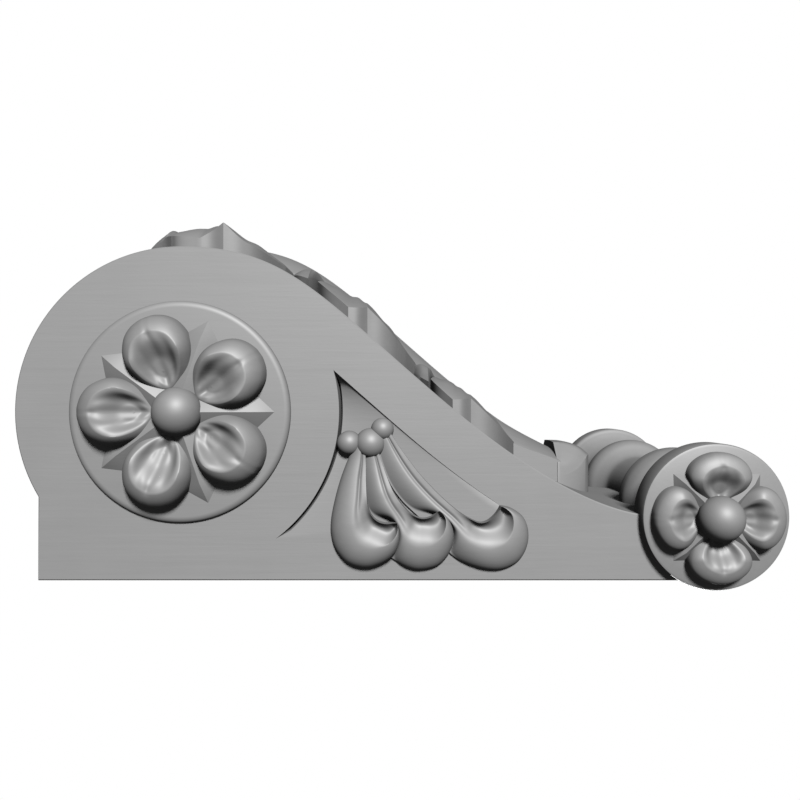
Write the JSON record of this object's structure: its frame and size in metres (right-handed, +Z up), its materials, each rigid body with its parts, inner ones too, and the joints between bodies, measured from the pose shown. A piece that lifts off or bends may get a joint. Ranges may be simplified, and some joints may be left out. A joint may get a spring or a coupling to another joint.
{
  "type": "carved wooden corbel bracket",
  "caption": "Carved wooden wall corbel with a large volute, side rosettes, husk drops, a front leaf and a turned lower scroll",
  "frame": {"origin": "middle of the flat back face, where the corbel is fixed to the wall", "axes": "+Z up towards the large volute, +Y into the wall, -Y out to the carved front, X across the corbel"},
  "size_m": [0.1944, 0.1501, 0.3081],
  "materials": {
    "primed_wood": "close-grained wood under a mid-grey primer coat, satin, with the grain just showing through"
  },
  "bodies": {
    "root": {"corbel": "primed_wood"}
  },
  "joints": []
}
